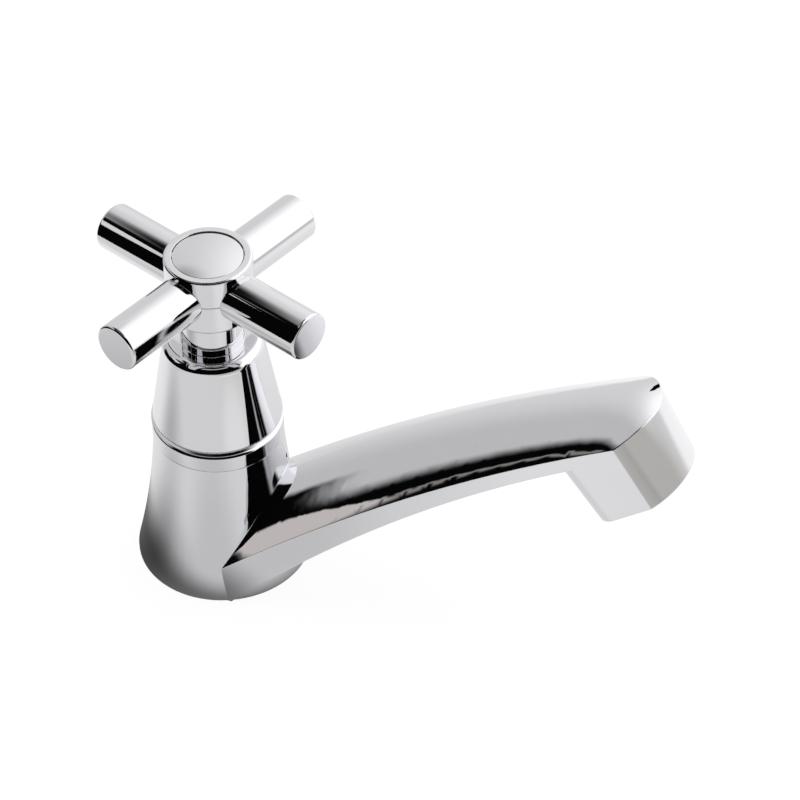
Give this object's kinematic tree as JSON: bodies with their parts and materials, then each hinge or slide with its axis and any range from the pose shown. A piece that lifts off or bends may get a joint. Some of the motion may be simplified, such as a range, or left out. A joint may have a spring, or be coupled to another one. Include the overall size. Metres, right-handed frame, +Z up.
{
  "type": "cross handle tap",
  "caption": "Pillar tap with a flared round body, a long rising spout with a rounded hood, and a cross handle that turns a ceramic disc valve.",
  "frame": {"origin": "on the tap's vertical axis, at the deck under the base", "axes": "+Z up along the axis on which the handle turns, +X the way the spout points"},
  "size_m": [0.1682, 0.0702, 0.1541],
  "materials": {
    "chrome": "polished plating",
    "brass": "machined",
    "steel": "stainless",
    "rubber": "moulded",
    "plastic": "moulded",
    "ceramic": "ground alumina ceramic"
  },
  "bodies": {
    "tap": {"tap_body": "chrome", "collar_ring": "chrome", "shroud": "chrome", "aerator_shell": "chrome", "cartridge_housing": "brass", "inlet_tail": "brass", "back_nut": "brass", "metal_washer": "steel", "housing_gasket": "rubber", "seat_seal": "rubber", "outlet_washer": "rubber", "base_gasket": "rubber", "tail_seal": "rubber", "deck_washer": "rubber", "aerator_screen": "plastic", "thrust_washer": "plastic", "fixed_disc": "ceramic"},
    "handle": {"handle_hub": "chrome", "handle_arm_1": "chrome", "handle_arm_2": "chrome", "handle_arm_3": "chrome", "handle_arm_4": "chrome", "handle_screw": "steel", "index_button": "chrome", "spindle": "brass", "spindle_o_rings": "rubber", "spindle_clip": "steel", "moving_disc": "ceramic"}
  },
  "joints": [
    {"name": "handle_turn", "type": "hinge", "parent": "tap", "child": "handle", "pos_m": [0, 0, 0.0967], "axis": [0, 0, 1], "range_deg": [0, 90]}
  ]
}
